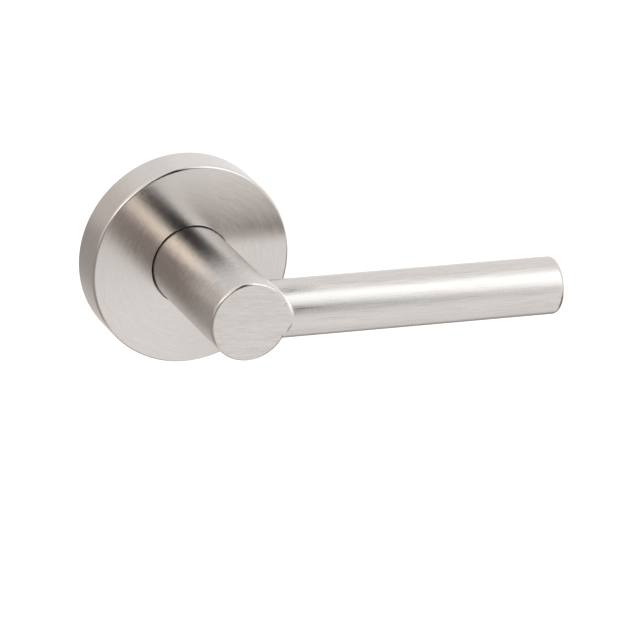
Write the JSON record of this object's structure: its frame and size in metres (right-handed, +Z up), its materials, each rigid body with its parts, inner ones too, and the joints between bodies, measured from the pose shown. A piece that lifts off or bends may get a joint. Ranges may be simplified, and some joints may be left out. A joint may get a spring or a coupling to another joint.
{
  "type": "door lever handle",
  "caption": "Sprung door lever half set: round rose, round neck and straight round grip in satin brushed metal, with square spindle and tapped mounting posts.",
  "frame": {"origin": "centre of the rose's back face, on the spindle axis, in the plane of the door's face", "axes": "+Y into the door along the spindle, so the neck stands out towards -Y; +X along the grip; +Z up"},
  "size_m": [0.1412, 0.107, 0.0666],
  "materials": {
    "satin_nickel": "satin, brushed round the rose and neck and along the grip",
    "zinc_plate": "zinc plated",
    "dark_steel": "blackened and oiled",
    "spring_steel": "tempered and oiled",
    "nylon": "natural moulded"
  },
  "bodies": {
    "rose": {"rose_cover": "satin_nickel", "mounting_plate": "zinc_plate", "mounting_posts": "zinc_plate", "spring_cage": "zinc_plate", "cage_screws": "dark_steel", "front_bush": "nylon", "rear_bush": "nylon", "rose_clips": "spring_steel", "clip_rivets": "zinc_plate", "anchor_pin": "dark_steel", "return_spring": "spring_steel"},
    "lever": {"neck_tube": "satin_nickel", "neck_cap": "satin_nickel", "neck_hub": "zinc_plate", "grip_tube": "satin_nickel", "grip_cap": "satin_nickel", "grip_tenon": "zinc_plate", "weld_fillet": "satin_nickel", "drive_sleeve": "dark_steel", "spring_driver": "zinc_plate", "driver_pin": "dark_steel", "thrust_washer": "dark_steel", "retaining_ring": "dark_steel", "spindle": "dark_steel", "spindle_pin": "zinc_plate", "grub_screw": "dark_steel"}
  },
  "joints": [
    {"name": "lever_turn", "type": "hinge", "parent": "rose", "child": "lever", "pos_m": [0, 0, 0], "axis": [0, 1, 0], "range_deg": [0, 50], "stiffness_Nm_per_rad": 0.5, "springref_deg": -68.75, "deforming": ["return_spring"]}
  ]
}
